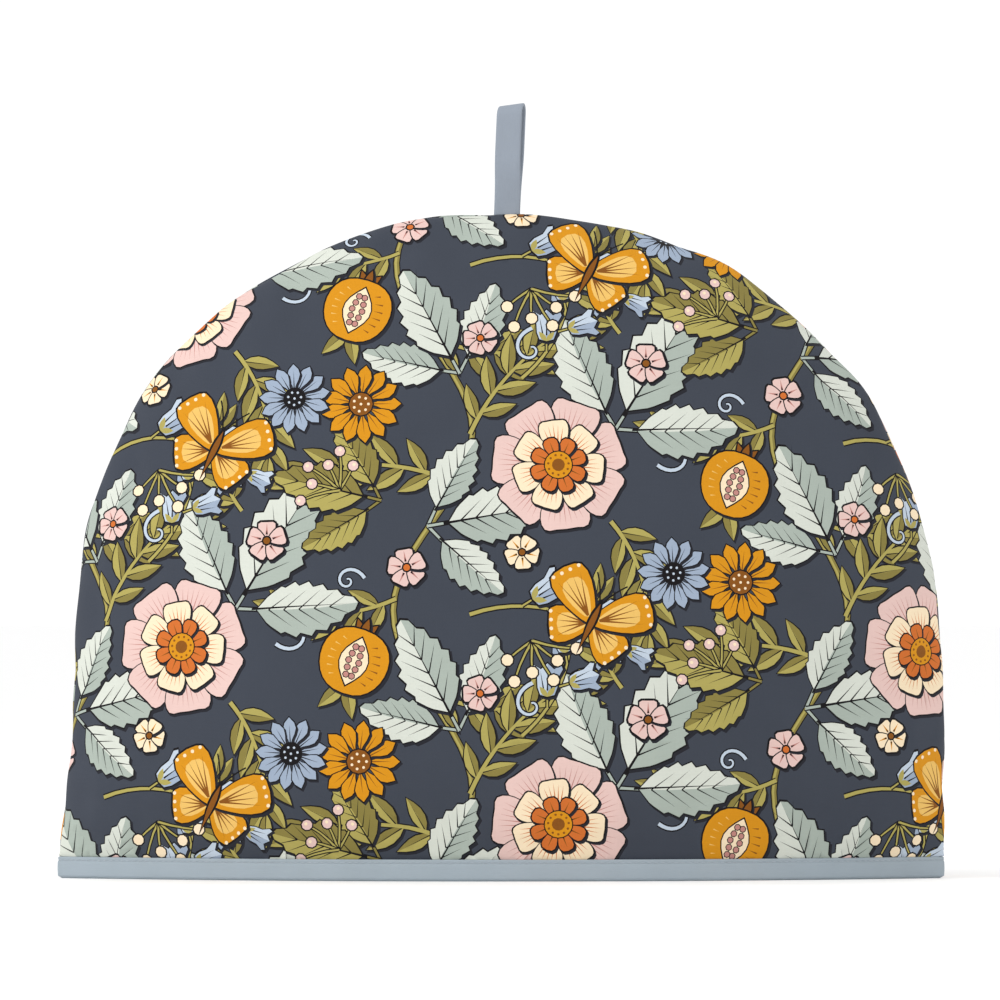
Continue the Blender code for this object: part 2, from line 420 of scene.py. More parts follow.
# %% Depth of the outer cloth and of the plain inside
GATHERS = {
    # piece: where the waves of its seam and of its hem start, in turns
    "front": ((0.13, 0.57, 0.31, 0.88), (0.21, 0.66, 0.05)),
    "back": ((0.71, 0.02, 0.45, 0.29), (0.58, 0.11, 0.83)),
}
SEAM_WAVES = ((0.0125, 0.20), (0.0180, 0.30), (0.0290, 0.30), (0.0530, 0.20))
HEM_WAVES = ((0.0110, 0.30), (0.0175, 0.40), (0.0310, 0.30))
SEAM_GATHER, SEAM_FADE = 0.0015, 0.015
HEM_GATHER, HEM_FADE = 0.0010, 0.012
EDGE_WOBBLE, WOBBLE_FADE = 0.0005, 0.02
WOBBLE_WAVES = ((0.034, 0.5), (0.061, 0.5))
SEAM_MEAN_REACH = 0.22
HEM_FILL = 0.0085
LINING_FILL = (0.010, 0.030)
LOOP_GRIP, LOOP_ROOM, CROWN_HEIGHT = (0.0066, 0.0130), 0.0015, 0.2
SWELLS = {
    # piece: across, up, outward push, spread
    "front": (
        (-0.085, 0.085, 0.0022, 0.040),
        (0.010, 0.150, -0.0014, 0.035),
        (0.095, 0.060, -0.0016, 0.035),
        (0.060, 0.185, 0.0014, 0.030),
        (-0.030, 0.045, -0.0010, 0.022),
        (0.035, 0.095, 0.0012, 0.022),
        (-0.060, 0.160, 0.0010, 0.020),
    ),
    "back": (
        (-0.060, 0.170, 0.0015, 0.035),
        (0.030, 0.085, 0.0016, 0.045),
        (-0.100, 0.060, -0.0016, 0.035),
        (0.090, 0.130, -0.0014, 0.030),
        (0.000, 0.040, -0.0010, 0.022),
        (-0.040, 0.110, 0.0012, 0.022),
    ),
}
loop_middle = (loop_low.x + loop_high.x) / 2 - 0.0008


def waves(along, table, starts):
    """A sum of sine waves: each row of the table is a length and a share."""
    return sum(
        share * np.sin(2 * np.pi * (along / length + start))
        for (length, share), start in zip(table, starts)
    )


def seam_half_gap(grid):
    """The seam is open by a hair, and wider where it holds the loop's two legs."""
    beside = 1 - ease(np.abs(grid.real - loop_middle), *LOOP_GRIP)
    return SEAM_HALF_GAP + LOOP_ROOM * beside * (grid.imag > CROWN_HEIGHT)


def domed(radius, reach, on_seam):
    """(distance from the seam, rounding over the wadding, share of the lens) at each place."""
    from_seam = np.where(on_seam, 0, np.clip(reach - radius, 0, None))
    rounded = np.sqrt(1 - (1 - np.clip(from_seam / ROLL, 0, 1)) ** 2)
    return from_seam, rounded, 1 - np.clip(radius / reach, 0, 1) ** LENS_POWER


def outer_cloth(grid, piece, on_seam):
    """The printed face at places of the front view: (places, depth in front of the seam)."""
    reach = seam_reach(grid)
    grid = np.where(on_seam, grid * reach / np.abs(grid), grid)
    radius = np.abs(grid)
    from_seam, rounded, lens = domed(radius, reach, on_seam)
    above = np.clip(grid.imag - BINDING_HEIGHT, 0, None)
    filled = 1 - np.exp(-above / HEM_FILL)
    seam_starts, hem_starts = GATHERS[piece]
    along = np.angle(grid) * SEAM_MEAN_REACH
    swell = sum(
        push * np.exp(-(np.abs(grid - x - 1j * z) ** 2) / (2 * spread**2))
        for x, z, push, spread in SWELLS[piece]
    )
    gather = SEAM_GATHER * np.exp(-from_seam / SEAM_FADE) * waves(along, SEAM_WAVES, seam_starts)
    pinch = HEM_GATHER * np.exp(-above / HEM_FADE) * waves(grid.real, HEM_WAVES, hem_starts)
    depth = (HALF_DEPTH - OUTER_INSET) * lens + (PUFF + swell + gather + pinch) * rounded * filled
    drawn = SEAM_CREASE * (1 - ease(from_seam, 0, CREASE_REACH)) * filled
    wobble = EDGE_WOBBLE * waves(along, WOBBLE_WAVES, seam_starts[2:])
    drawn = drawn - wobble * np.exp(-from_seam / WOBBLE_FADE) * filled
    place = grid * (1 - drawn / np.clip(radius, 0.01, None))
    gap = seam_half_gap(grid)
    return place, np.where(on_seam, gap, np.maximum(depth, gap))


def inner_cloth(grid, piece, on_seam):
    """The plain inside of the panel, which is the same for every piece."""
    reach = dome_reach(np.degrees(np.angle(grid))) - SEAM_WIDTH
    _, rounded, lens = domed(np.abs(grid), reach, on_seam)
    above = ease(grid.imag, *LINING_FILL)
    depth = (HALF_DEPTH - INNER_INSET) * lens + INNER_PUFF * rounded * above
    gap = seam_half_gap(grid)
    return grid, np.where(on_seam, gap, np.maximum(depth, gap))


def in_space(place, depth, facing):
    """Grid places and depths as points. facing is -1 in front of the seam and 1 behind it."""
    return np.stack([place.real, facing * depth, place.imag], -1)


front_points = in_space(*outer_cloth(outer_grid, "front", rim_mask(outer_grid)), -1)
print("front panel, lowest and highest:", front_points.min((0, 1)), front_points.max((0, 1)))

# %% [markdown]
# ### Laid flat
#
# The print and the weave belong to the flat cloth, so every grid point also needs its place on
# the cloth as it was cut. It lies in the direction that it has in the front view, as far from the
# middle of the hem as the curved cloth is long between the two. Every ray only grows that way, so
# the cloth never folds over itself.


# %% The flat cut
RAY_STEPS = 120


def laid_flat(grid, piece):
    """Each grid point's place on the flat cloth, in metres, as complex numbers."""
    share = 1 - np.linspace(1, 0, RAY_STEPS + 1) ** 3
    flat = []
    for row in grid:
        ray = row[:, None] * share
        place, depth = outer_cloth(ray, piece, np.zeros(ray.shape, bool))
        length = np.hypot(np.diff(np.abs(place)), np.diff(depth)).sum(1)
        flat.append(length * np.exp(1j * np.angle(row)))
    return np.array(flat)


front_flat = laid_flat(outer_grid, "front")
cut_width, cut_height = np.ptp(front_flat.real), np.ptp(front_flat.imag)
print("cut size of a panel:", round(cut_width, 4), "by", round(cut_height, 4), "m")

# %% [markdown]
# ### Settle the wadding
#
# Wadding pushes the cloth out between the seams that hold it, and the cloth has a little spare,
# so it buckles softly. Blender's Cloth works that out on every second point of the grid. The seam
# and the part in the binding are held, the inside pushes, and the cloth may grow a little. How far
# each point moves is capped, read back on a smooth curve and added to the drawn form.

# %% A short cloth simulation
EVERY = 2
SETTLE_FRAMES, WADDING_PUSH, SPARE_CLOTH, SETTLE_CAP = 20, 1.6, 0.014, 0.0024


def quads(grid):
    """The four corners of each cell of a grid."""
    return np.stack([grid[:-1, :-1], grid[:-1, 1:], grid[1:, 1:], grid[1:, :-1]], 2)


def new_mesh(name, points, faces, edges=()):
    """A mesh from an array of points and lists of corner numbers."""
    mesh = bpy.data.meshes.new(name)
    mesh.from_pydata(points.reshape(-1, 3).tolist(), edges, faces)
    return mesh


def settled(points, facing):
    """How far every second grid point moves when the padded cloth is let go."""
    coarse = points[::EVERY, ::EVERY]
    number = np.arange(coarse[..., 0].size).reshape(coarse.shape[:2])
    faces = quads(number).reshape(-1, 4)[:, :: -facing]
    piece = in_scene("settling cloth", new_mesh("settling cloth", coarse, faces.tolist()))
    sewn = coarse[..., 2] < BINDING_HEIGHT + 0.001
    sewn[:, [0, -1]] = sewn[-1] = True
    held = piece.vertex_groups.new(name="held")
    held.add(number[sewn].tolist(), 1.0, "REPLACE")
    modifier = piece.modifiers.new("settle", "CLOTH")
    cloth = modifier.settings
    cloth.vertex_group_mass = "held"
    cloth.quality = 6
    cloth.bending_stiffness = 2.0
    cloth.use_pressure = True
    cloth.uniform_pressure_force = WADDING_PUSH
    cloth.shrink_min = -SPARE_CLOTH
    cloth.effector_weights.gravity = 0
    modifier.collision_settings.use_collision = False
    modifier.point_cache.frame_end = SETTLE_FRAMES
    for frame in range(1, SETTLE_FRAMES + 1):
        bpy.context.scene.frame_set(frame)
    evaluated = piece.evaluated_get(bpy.context.evaluated_depsgraph_get())
    moved = np.empty(coarse.size)
    evaluated.data.vertices.foreach_get("co", moved)
    bpy.data.objects.remove(piece)
    bpy.context.scene.frame_set(1)
    shift = moved.reshape(coarse.shape) - coarse
    far = np.linalg.norm(shift, axis=-1, keepdims=True)
    print("the cloth moves up to", round(1000 * far.max(), 1), "mm before the cap")
    return shift * SETTLE_CAP * np.tanh(far / SETTLE_CAP) / np.maximum(far, 1e-9)


def softly(field, row, column):
    """A field on a grid, read between its points on a smooth curve both ways."""
    total = 0
    taps = []
    for place, size in ((row, field.shape[0]), (column, field.shape[1])):
        whole = np.floor(place).astype(int)
        t = place - whole
        curve = ((1 - t) ** 3, 3 * t**3 - 6 * t**2 + 4, -3 * t**3 + 3 * t**2 + 3 * t + 1, t**3)
        taps.append([(np.clip(whole + i - 1, 0, size - 1), w / 6) for i, w in enumerate(curve)])
    for at_row, share in taps[0]:
        for at_column, part in taps[1]:
            total = total + (share * part)[:, None] * field[at_row, at_column]
    return total

# %% [markdown]
# ## The print
#
# The real cloth carries a dense printed garden on dark slate: pink and orange flowers, olive and
# pale mint leaves and powder blue, all with near-black outlines. This one is a design of its own
# in those colours: open roses, marguerites, pomegranates, bellflowers and butterflies on a
# snaking vine. A print could be shader maths or an image. Here it is drawn as outlines on the
# flat cloth, in millimetres, and the cloth's own mesh is then cut along them. The edges stay
# crisp however near the camera comes, and the cloth stays smooth, since nothing is raised.

# %% Inks and the cloth they go on
INKS = {
    "ground": (58, 63, 73),
    "shadow": (33, 34, 41),
    "ink": (14, 11, 14),
    "olive": (164, 153, 84),
    "olive light": (186, 176, 112),
    "olive deep": (128, 117, 60),
    "mint": (202, 206, 196),
    "mint deep": (160, 170, 161),
    "blue": (148, 162, 181),
    "blue light": (182, 194, 207),
    "ochre": (202, 136, 18),
    "ochre light": (222, 180, 98),
    "brown": (128, 76, 18),
    "orange": (196, 104, 42),
    "blush": (216, 185, 178),
    "blush deep": (182, 128, 120),
    "cream": (234, 214, 182),
    "inside": (190, 191, 188),
}
RIM = 0.55


class Cloth:
    """Outlines in the order in which they are printed, as complex numbers in millimetres."""

    def __init__(self):
        self.shapes = []

    def fill(self, outline, ink):
        self.shapes.append((outline, ink))


def move(points, turn=0.0, at=0j, size=1.0):
    """Points turned by an angle in degrees, scaled and carried to a place."""
    return at + size * np.exp(1j * np.radians(turn)) * np.asarray(points)


def bend(points, curve):
    """Points wrapped round an arc that leaves 0 along the real axis, curve radians a millimetre."""
    points = np.asarray(points)
    if not curve:
        return points
    swing = np.exp(1j * curve * points.real)
    return (swing - 1) / (1j * curve) + 1j * points.imag * swing


# %% The printer's shapes
def closed(edge):
    """An outline from its upper edge, which starts and ends on the real axis."""
    return np.concatenate([edge[:-1].conj(), edge[:0:-1]])


def blade(length, width, belly=0.45, steps=6, start=0.0):
    """An almond from start to start + length, widest at the belly."""
    along = np.linspace(0, 1, steps)
    half = width / 2 * np.sin(np.pi * along ** (np.log(0.5) / np.log(belly)))
    return closed(start + length * along + 1j * half)


def petal(length, width, notch=0.0, start=0.0, steps=8, lean=0.35):
    """A rounded petal, broad at its far end, with a notch there."""
    turn = np.linspace(0, np.pi, steps)
    along = (1 - np.cos(turn)) / 2
    half = width / 2 * np.sin(turn) ** 0.8 * (lean + (1 - lean) * along) / 0.8
    reach = length * along - notch * np.exp(-(((1 - along) / 0.06) ** 2))
    return closed(start + reach + 1j * half)


def disc(radius, at=0j, steps=12):
    """A round dot."""
    return at + radius * np.exp(2j * np.pi * np.arange(steps) / steps)


def stroke(path, widths):
    """A ribbon along a path, with its width at each point."""
    path = np.asarray(path, complex)
    side = np.gradient(path)
    side = 0.5j * np.asarray(widths) * side / np.abs(side)
    return np.concatenate([path - side, (path + side)[::-1]])


def scratch(start, end, width):
    """An engraved line, which is a thin wedge."""
    across = 0.5j * width * (end - start) / abs(end - start)
    return np.array([start - across, end, start + across])


def inked(cloth, shape, grown, ink, place, shadow=0.6 - 0.8j):
    """A filled shape over its dark rim, with a soft shadow to one side under both."""
    cloth.fill(place(grown) + shadow, "shadow")
    cloth.fill(place(grown), "ink")
    cloth.fill(place(shape), ink)

# %% [markdown]
# ### Leaves and stems
#
# Each motif is a short recipe of blades, petals, strokes and dots. It is drawn round its own foot,
# and a place carries it to its spot on the cloth, so a motif can hold other motifs in turn.


# %% Leaves and stems
OLIVE = ("olive", "olive deep")


def seated(place, turn=0.0, at=0j, size=1.0):
    """A place within another place."""
    return lambda points: place(move(points, turn, at, size))


def stem(cloth, place, path, thick, thin, ink):
    """A line that tapers from thick to thin, with a dark rim."""
    taper = np.linspace(thick, thin, len(path))
    cloth.fill(place(stroke(path, taper + 0.9)), "ink")
    cloth.fill(place(stroke(path, taper)), ink)


def leaflet(cloth, place, length, width, inks):
    """A plain leaf with a darker half and a midrib."""
    light, deep = inks
    shape = blade(length, width)
    inked(cloth, shape, blade(length + 2.2 * RIM, width + 2 * RIM, start=-RIM), light, place)
    cloth.fill(place(np.append(shape[:6], 0.5 * length)), deep)
    cloth.fill(place(scratch(0j, 0.86 * length, 0.5)), "ink")


def sprig(cloth, place, length, curve, pairs=5, leaf=15, width=5.2):
    """A curved stem with leaves on both sides and one at its tip."""
    line = bend(np.linspace(0, length, 12), curve)
    cloth.fill(place(stroke(line, np.linspace(2.4, 1.4, 12))), "ink")
    for i in range(pairs):
        share = (i + 0.6) / (pairs + 0.2)
        size = 0.62 + 0.38 * np.sin(np.pi * (0.15 + 0.75 * share))
        for side in (-1, 1):
            at = length * (share + 0.045 * (side < 0))
            heading = np.degrees(curve * at) + side * (52 - 18 * share)
            seat = seated(place, heading, bend(at, curve), size)
            leaflet(cloth, lambda points: seat(bend(points, -0.012 * side)), leaf, width, OLIVE)
    tip = seated(place, np.degrees(curve * length), bend(length, curve), 0.85)
    leaflet(cloth, tip, leaf, width, OLIVE)
    cloth.fill(place(stroke(line, np.linspace(1.5, 0.7, 12))), "olive")


def toothed(length, width, teeth=7):
    """A broad leaf whose margin is cut into teeth."""
    along = np.linspace(0, 1, 2 * teeth + 1)
    out = np.arange(2 * teeth + 1) % 2
    half = width / 2 * np.sin(np.pi * along**0.78) ** 0.85 * np.where(out, 1.0, 0.84)
    edge = length * along + 1j * half + 0.032 * length * out
    edge[-1] = length
    return closed(edge)


def broad_leaf(cloth, place, length, width, inks):
    """A large pale leaf with a toothed margin and engraved veins."""
    light, deep = inks
    shape = toothed(length, width)
    grown = toothed(length + 2.6 * RIM, width + 2.4 * RIM) - RIM
    inked(cloth, shape, grown, light, place, 0.8 - 1.0j)
    shaded = np.append(shape[: len(shape) // 2 + 1], [0.62 * length, 0.3 * length])
    cloth.fill(place(shaded), deep)
    for i in range(5):
        base = length * (0.12 + 0.15 * i) + 0j
        reach = (0.40 - 0.03 * i) * width * np.sin(np.pi * (0.22 + 0.14 * i)) ** 0.5
        for side in (-1j, 1j):
            cloth.fill(place(scratch(base, base + 0.24 * length + side * reach, 0.55)), "ink")
    cloth.fill(place(scratch(-0.05 * length + 0j, 0.93 * length + 0j, 0.9)), "ink")


def spray(cloth, place, fan, length, width, stalk=7, inks=("mint", "mint deep")):
    """Three broad leaves that fan from one point."""
    for turn in (-fan, fan, 0):
        stem(cloth, seated(place, turn), [0j, stalk + 1.0, stalk + 2.0], 0.9, 0.6, inks[1])
        seat = seated(place, turn, move(stalk, turn), 1 - 0.22 * abs(turn) / fan)
        curve = -0.006 * np.sign(turn)
        broad_leaf(cloth, lambda points: seat(bend(points, curve)), length, width, inks)


def tendril(cloth, place, turns=1.25):
    """A thin line that curls up at its end."""
    share = np.linspace(0, 1, 22)
    path = np.cumsum(np.exp(2j * np.pi * turns * share**1.3) * (1.05 - 0.85 * share))
    stem(cloth, place, 35.2 * (path - path[0]) / 22, 1.2, 0.5, "blue light")


def vine(cloth, place, height, sway=15):
    """The main stem, which snakes up the cloth."""
    up = np.linspace(-height / 2, height / 2, 25)
    path = sway * np.sin(2 * np.pi * up / height) + 1j * up
    stem(cloth, place, path, 2.0, 2.0, "olive deep")
    cloth.fill(place(stroke(path - 0.3, np.full(25, 0.9))), "olive")


def berries(cloth, place, inks, count=6, size=2.0):
    """Berries on thin forked stalks."""
    light, glint = inks
    for i in range(count):
        reach = 10 + 4.5 * (i % 2)
        seat = seated(place, 26 * (i - (count - 1) / 2))
        stem(cloth, seat, bend(np.linspace(0, reach, 4), 0.02), 0.8, 0.5, "olive")
        spot = bend(reach + 1, 0.02)
        cloth.fill(seat(disc(size + RIM, spot, 9)), "ink")
        cloth.fill(seat(disc(size, spot, 9)), light)
        cloth.fill(seat(disc(0.36 * size, spot + 0.3 * size, 5)), glint)


# %% [markdown]
# ### Flowers, fruit and butterflies


# %% Flowers
def petals(cloth, place, count, offset, start, length, width, notch, ink, vein, veins):
    """One ring of petals with engraved veins."""
    steps = 8 if length < 15 else 14
    grown = petal(length + 2.4 * RIM, width + 2.2 * RIM, notch, start - RIM, steps)
    shape = petal(length, width, notch, start, steps)
    for i in range(count):
        seat = seated(place, offset + 360 * i / count)
        inked(cloth, shape, grown, ink, seat)
        for j in range(veins):
            lean = (j - (veins - 1) / 2) / max(veins, 1)
            near = start + 0.22 * length + 0.30j * lean * width
            far = start + (0.86 - 0.25 * abs(lean)) * length + 0.80j * lean * width
            cloth.fill(seat(scratch(near, far, 0.9)), vein)
            cloth.fill(seat(scratch(near, 0.6 * near + 0.4 * far, 0.7)), "ink")


def rose(cloth, place):
    """A large open flower: broad outer petals, short inner ones and a ring of stamens."""
    petals(cloth, place, 7, 12, 6.8, 27.2, 25.2, 2.6, "blush", "blush deep", 7)
    petals(cloth, place, 7, 38, 4.1, 19.0, 15.0, 1.4, "cream", "orange", 5)
    petals(cloth, place, 8, 12, 3.4, 10.2, 7.5, 0.0, "orange", "brown", 1)
    cloth.fill(place(disc(6.5 + RIM, steps=18)), "ink")
    cloth.fill(place(disc(6.5, steps=18)), "ochre")
    cloth.fill(place(disc(3.1)), "brown")
    for i in range(11):
        cloth.fill(place(disc(0.62, 4.9 * np.exp(2j * np.pi * i / 11), 6)), "brown")


def marguerite(cloth, place, size=16, inks=("ochre", "brown", "cream")):
    """A daisy with many narrow petals."""
    outer, eye, dots = inks
    shape = blade(0.78 * size, 0.36 * size, 0.62, start=0.24 * size)
    grown = blade(0.78 * size + 2.2 * RIM, 0.36 * size + 2 * RIM, 0.62, start=0.24 * size - RIM)
    for i in range(13):
        seat = seated(place, 360 * i / 13)
        inked(cloth, shape, grown, outer, seat)
        cloth.fill(seat(scratch(0.3 * size + 0j, 0.82 * size + 0j, 0.6)), eye)
    cloth.fill(place(disc(0.30 * size + RIM)), "ink")
    cloth.fill(place(disc(0.30 * size)), eye)
    for spot in [0j, *(0.19 * size * np.exp(2j * np.pi * np.arange(7) / 7))]:
        cloth.fill(place(disc(0.6, spot, 6)), dots)


def blossom(cloth, place, inks=("blush", "blush deep", "orange")):
    """A small five-petalled flower."""
    petals(cloth, place, 5, 90, 0.7, 6.3, 6.4, 0.7, inks[0], inks[1], 1)
    cloth.fill(place(disc(1.8, steps=8)), "ink")
    cloth.fill(place(disc(1.2, steps=8)), inks[2])


def bell(length, width):
    """A hanging bell with a scalloped mouth."""
    along = np.array([0, 0.06, 0.3, 0.62, 0.9, 1.04, 0.90, 1.10])
    half = np.array([0.0, 0.26, 0.36, 0.38, 0.56, 0.5, 0.24, 0.0])
    return closed(length * along + 1j * width * half)


def bell_spray(cloth, place, length=50, curve=-0.022, bells=5, size=11):
    """Bells that hang from both sides of an arching stem."""
    stem(cloth, place, bend(np.linspace(0, length, 12), curve), 1.2, 0.5, "olive")
    for i in range(bells):
        at = length * (0.34 + 0.66 * i / (bells - 1))
        turn = np.degrees(curve * at) + (-58 if i % 2 else 34) * (1 - 0.6 * i / bells)
        hung = seated(place, turn, bend(at, curve))
        stem(cloth, hung, [0j, 2.5, 5.0], 0.6, 0.5, "olive")
        cup = seated(hung, 0, 4.0, 1 - 0.08 * i)
        shape = bell(size, 0.9 * size)
        inked(cloth, shape, bell(size + 2 * RIM, 0.9 * size + 2.2 * RIM) - RIM, "blue", cup)
        cloth.fill(cup(np.append(shape[7:], 0.2 * size)), "blue light")
        for lean in (-0.24j, 0j, 0.24j):
            near, far = (0.2 + 0.5 * lean) * size, (0.86 + lean) * size
            cloth.fill(cup(scratch(near, far, 0.6)), "ink")
        for tilt in (-38, 38):
            cloth.fill(cup(move(blade(0.42 * size, 0.18 * size), tilt)), "olive")


# %% Fruit and butterflies
def pomegranate(cloth, place, size=15):
    """A round fruit with a crown, cut open to show its seeds."""
    for turn in (150, 210):
        leaf = seated(place, turn, -0.7 * size)
        leaflet(cloth, leaf, 1.1 * size, 0.42 * size, OLIVE)
    for turn in (-34, 34, 0):
        crown = seated(place, turn, 0.78 * size)
        grown = blade(0.66 * size, 0.34 * size, 0.4)
        inked(cloth, blade(0.58 * size, 0.24 * size, 0.4), grown, "brown", crown)
    body = petal(2.0 * size, 1.75 * size, 0, -size, 14, 0.9)
    grown = petal(2.0 * size + 2.4 * RIM, 1.75 * size + 2.4 * RIM, 0, -size - RIM, 14, 0.9)
    inked(cloth, body, grown, "ochre", place, 0.8 - 1.0j)
    for i in range(6):
        up = (0.62 - 0.24 * i) * size
        far = 1j * np.sqrt(max((0.86 * size) ** 2 - up**2, 1))
        cloth.fill(place(scratch(up - 0.93 * far, 0.9 * up - 0.58 * far, 0.75)), "brown")
        cloth.fill(place(scratch(up + 0.93 * far, 0.9 * up + 0.68 * far, 0.6)), "ochre light")
    window = blade(1.5 * size, 0.86 * size, 0.5, 8, -0.75 * size)
    cloth.fill(place(1.09 * window), "ink")
    cloth.fill(place(window), "cream")
    for i in range(5):
        for side in (-0.13j, 0.13j):
            at = (0.44 - 0.22 * i) * size + side * size * (1.25 - 0.275 * abs(i - 2))
            cloth.fill(place(disc(0.115 * size, at, 7)), "ink")
            cloth.fill(place(disc(0.085 * size, at, 7)), "blush deep")


def butterfly(cloth, place, size=25, inks=("ochre", "ochre light", "brown", "cream")):
    """Four veined wings, a body and two feelers."""
    wing, glow, vein, spots = inks
    for side in (-1, 1):
        for turn, reach, wide in ((118, 0.70, 0.60), (52, 1.0, 0.64)):
            seat = seated(place, side * turn, 0.04 * size)
            length, width = reach * size, wide * size
            grown = petal(length + 2.4 * RIM, width + 2.4 * RIM, 1.2, -RIM, 10)
            inked(cloth, petal(length, width, 1.2, 0, 10), grown, wing, seat, 0.8 - 1.0j)
            cloth.fill(seat(petal(0.66 * length, 0.62 * width, 0, 0.10 * length)), glow)
            for lean in (-0.6j, -0.2j, 0.2j, 0.6j):
                far = 0.78 * length + 0.50 * lean * width
                cloth.fill(seat(scratch(0.12 * length + 0j, far, 0.9)), vein)
                spot = 0.88 * length + 0.56 * lean * width
                cloth.fill(seat(disc(0.030 * size, spot, 7)), spots)
        feeler = bend(np.linspace(0, 0.55 * size, 6), side * 0.03)
        cloth.fill(place(move(stroke(feeler, np.full(6, 0.6)), side * 16, 0.30 * size)), "ink")
    cloth.fill(place(blade(0.98 * size, 0.16 * size, 0.62, 8, -0.52 * size)), "ink")
    cloth.fill(place(blade(0.80 * size, 0.09 * size, 0.62, 8, -0.44 * size)), "brown")


# %% [markdown]
# ### The repeat
#
# One repeat is about 146 by 138 mm. The next column starts half a repeat higher, which is called
# a half-drop and keeps the eye from finding rows.

# %% The layout of one repeat
REPEAT = (146.0, 138.0)
PINK, CREAM = ("blush", "blush deep", "brown"), ("cream", "ochre", "brown")
POWDER = ("blue", "ink", "blue light")
LAYOUT = (
    # motif, across, up, turn, size, settings
    (vine, -26, 0, 0, 1.0, {"height": REPEAT[1]}),
    (sprig, -20, 16, 158, 1.15, {"length": 50, "curve": 0.014}),
    (sprig, -40, -30, 205, 1.0, {"length": 44, "curve": -0.016}),
    (sprig, -30, -64, -28, 1.1, {"length": 56, "curve": 0.016, "pairs": 6}),
    (sprig, -12, 34, 66, 1.1, {"length": 50, "curve": -0.012}),
    (sprig, 42, 0, -50, 1.1, {"length": 42, "curve": -0.018}),
    (sprig, 46, -64, 128, 0.95, {"length": 40, "curve": -0.02}),
    (tendril, -24, 66, 28, 1.3, {}),
    (tendril, 60, 22, -40, 1.2, {"turns": 1.1}),
    (tendril, -52, -22, 120, 1.1, {}),
    (tendril, 12, -62, 200, 1.2, {"turns": 1.0}),
    (spray, -28, -2, 10, 1.15, {"fan": 56, "length": 34, "width": 19}),
    (spray, 44, 36, 58, 1.2, {"fan": 62, "length": 42, "width": 23}),
    (spray, -16, 58, 118, 1.1, {"fan": 54, "length": 36, "width": 20}),
    (spray, -46, 8, 166, 1.0, {"fan": 50, "length": 36, "width": 19, "inks": OLIVE}),
    (bell_spray, -12, -36, 20, 1.2, {}),
    (bell_spray, 8, 56, 40, 1.05, {"length": 40, "curve": 0.02, "bells": 4}),
    (berries, -62, 12, 120, 1.0, {"inks": ("blush", "cream")}),
    (berries, 12, -46, -84, 1.1, {"inks": ("cream", "cream")}),
    (marguerite, -54, 46, 0, 0.95, {}),
    (marguerite, 66, -20, 10, 0.85, {"inks": POWDER}),
    (pomegranate, -56, -54, 70, 0.84, {}),
    (blossom, -36, -18, 10, 1.1, {}),
    (blossom, 8, -12, 40, 1.0, {"inks": CREAM}),
    (blossom, 56, 62, 0, 1.15, {"inks": PINK}),
    (blossom, -8, -66, 20, 1.0, {}),
    (butterfly, 34, -40, 64, 1.0, {}),
    (rose, 22, 22, 8, 0.80, {}),
)


def repeats(offset):
    """The centre of every repeat that the panels can reach."""
    across, up = REPEAT
    columns, rows = range(-2, 3), range(-1, 4)
    return [offset + i * across + 1j * (j + 0.5 * (i % 2)) * up for i in columns for j in rows]


def print_repeat(cloth, centres):
    """Prints each motif at its place in every repeat."""
    for motif, across, up, turn, size, settings in LAYOUT:
        for centre in centres:
            spot = centre + across + 1j * up
            motif(cloth, seated(lambda points: points, turn, spot, size), **settings)


print(len(LAYOUT), "motifs a repeat")

# %% [markdown]
# ### From the flat print to the padded panel
#
# Blender can triangulate a plane so that every given line becomes an edge, and can say which
# outlines each triangle lies in. The print goes in first, and the last outline that holds a
# triangle gives it its ink. Only the lines where the ink changes are kept, and go in again with
# the grid, so what a later motif hides costs no triangles. Each corner is then found on the flat
# grid, and carried to the same spot of the padded one. The rim of the mesh is carried to the
# plain inside too, which closes the panel like a real one.


# %% Between the front view and the flat cut
def search_tree(places, triangles):
    """Finds the triangle nearest to a place, on a flat mesh of complex numbers."""
    points = np.stack([places.real, places.imag, 0 * places.real], -1)
    return BVHTree.FromPolygons(points.tolist(), triangles.tolist())


class Draping:
    """Goes between a panel's grid in the front view and the same grid laid flat."""

    def __init__(self, grid, flat):
        corner = np.arange(grid.size).reshape(grid.shape)
        a, b, c, d = corner[:-1, :-1], corner[:-1, 1:], corner[1:, 1:], corner[1:, :-1]
        halves = [np.stack(half, -1).reshape(-1, 3) for half in ((a, b, c), (a, c, d))]
        self.triangles = np.concatenate(halves)
        self.plans = {"view": grid.ravel(), "flat": flat.ravel()}
        self.trees = {name: search_tree(plan, self.triangles) for name, plan in self.plans.items()}

    def weigh(self, places, plan):
        """Each place's triangle of a plan, as three corners and their shares."""
        find = self.trees[plan].find_nearest
        corners = self.triangles[[find((p.real, p.imag, 0))[2] for p in places]]
        a, b, c = self.plans[plan][corners].T
        whole = ((b - a).conj() * (c - a)).imag
        second = ((places - a).conj() * (c - a)).imag / whole
        third = ((b - a).conj() * (places - a)).imag / whole
        return corners, np.stack([1 - second - third, second, third], -1)


def weighed_mean(weighed, values):
    """What the values at the grid's corners come to at each weighed place."""
    corners, shares = weighed
    return (shares * values.ravel()[corners]).sum(1)


# %% Cut the flat cloth
SEAM_LINES = (0.00012, 0.00026, 0.00042, 0.0008, 0.0014, 0.0023, 0.0036, 0.0054)
SEAM_LINE_STEPS, SEAM_LINE_START, NEAR_SEAM = 380, 0.012, 0.17
PAST_SEAM_LINES = 0.0008
CUT_TOLERANCE = 1e-4
COARSE = 3
PANEL_HEART, PRINT_MARGIN = 0.05j, 0.001
FREE_FROM_SEAM, FREE_ABOVE_TAPE = (0.002, 0.014), 0.005


